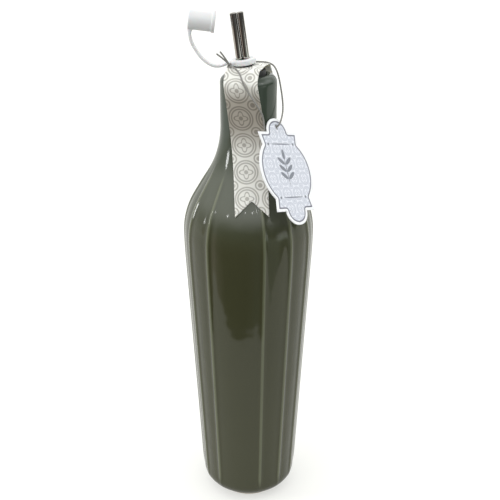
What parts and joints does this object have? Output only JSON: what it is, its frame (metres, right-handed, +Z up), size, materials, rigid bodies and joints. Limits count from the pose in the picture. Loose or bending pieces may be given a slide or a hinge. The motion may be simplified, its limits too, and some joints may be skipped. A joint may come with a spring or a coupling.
{
  "type": "oil bottle",
  "caption": "Ribbed glazed ceramic oil bottle with a rubber stopper pourer, steel tubes, a strapped spout cap, a paper band over the mouth and a hang tag on a string.",
  "frame": {"origin": "centre of the foot ring on the standing plane", "axes": "+Z up along the bottle, -Y towards the front with the paper band, +X towards the hang tag"},
  "size_m": [0.0774, 0.0842, 0.3104],
  "materials": {
    "glaze": "sage green gloss glaze, thin and pale on the ribs",
    "black_rubber": "matt black rubber",
    "steel": "polished stainless steel",
    "white_silicone": "satin white soft plastic",
    "printed_paper": "matt off-white paper with a grey-taupe lattice",
    "card": "matt white card with a pale lavender field",
    "string": "grey twisted string"
  },
  "bodies": {
    "bottle": {"bottle_body": "glaze"},
    "pourer": {"stopper": "black_rubber", "pour_tube": "steel", "vent_tube": "steel", "paper_band": "printed_paper", "string_knot": "string", "string_over_front": "string", "string_over_back": "string"},
    "strap": {"strap_ring": "white_silicone", "strap_lower": "white_silicone"},
    "strap_tip": {"strap_upper": "white_silicone"},
    "cap": {"spout_cap": "white_silicone"},
    "tag": {"hang_tag": "card", "string_down_front": "string", "string_down_back": "string"}
  },
  "joints": [
    {"name": "pourer_lift", "type": "slide", "parent": "bottle", "child": "pourer", "axis": [0, 0, 1], "range_m": [0, 0.05]},
    {"name": "ring_turn", "type": "hinge", "parent": "pourer", "child": "strap", "pos_m": [0, 0, 0.26], "axis": [-0.134, 0, 0.991], "range_deg": [-60, 0]},
    {"name": "cap_swing", "type": "hinge", "parent": "strap", "child": "strap_tip", "pos_m": [-0.00874, 0, 0.29836], "axis": [0, 1, 0], "range_deg": [0, 75.1]},
    {"name": "cap_push", "type": "slide", "parent": "strap_tip", "child": "cap", "axis": [0.9921, 0, -0.1253], "range_m": [0, 0.0066]},
    {"name": "tag_swing", "type": "hinge", "parent": "pourer", "child": "tag", "pos_m": [-0.0046, -0.0146, 0.278], "axis": [-0.7524, -0.6521, 0.0932], "range_deg": [0, 40]}
  ]
}
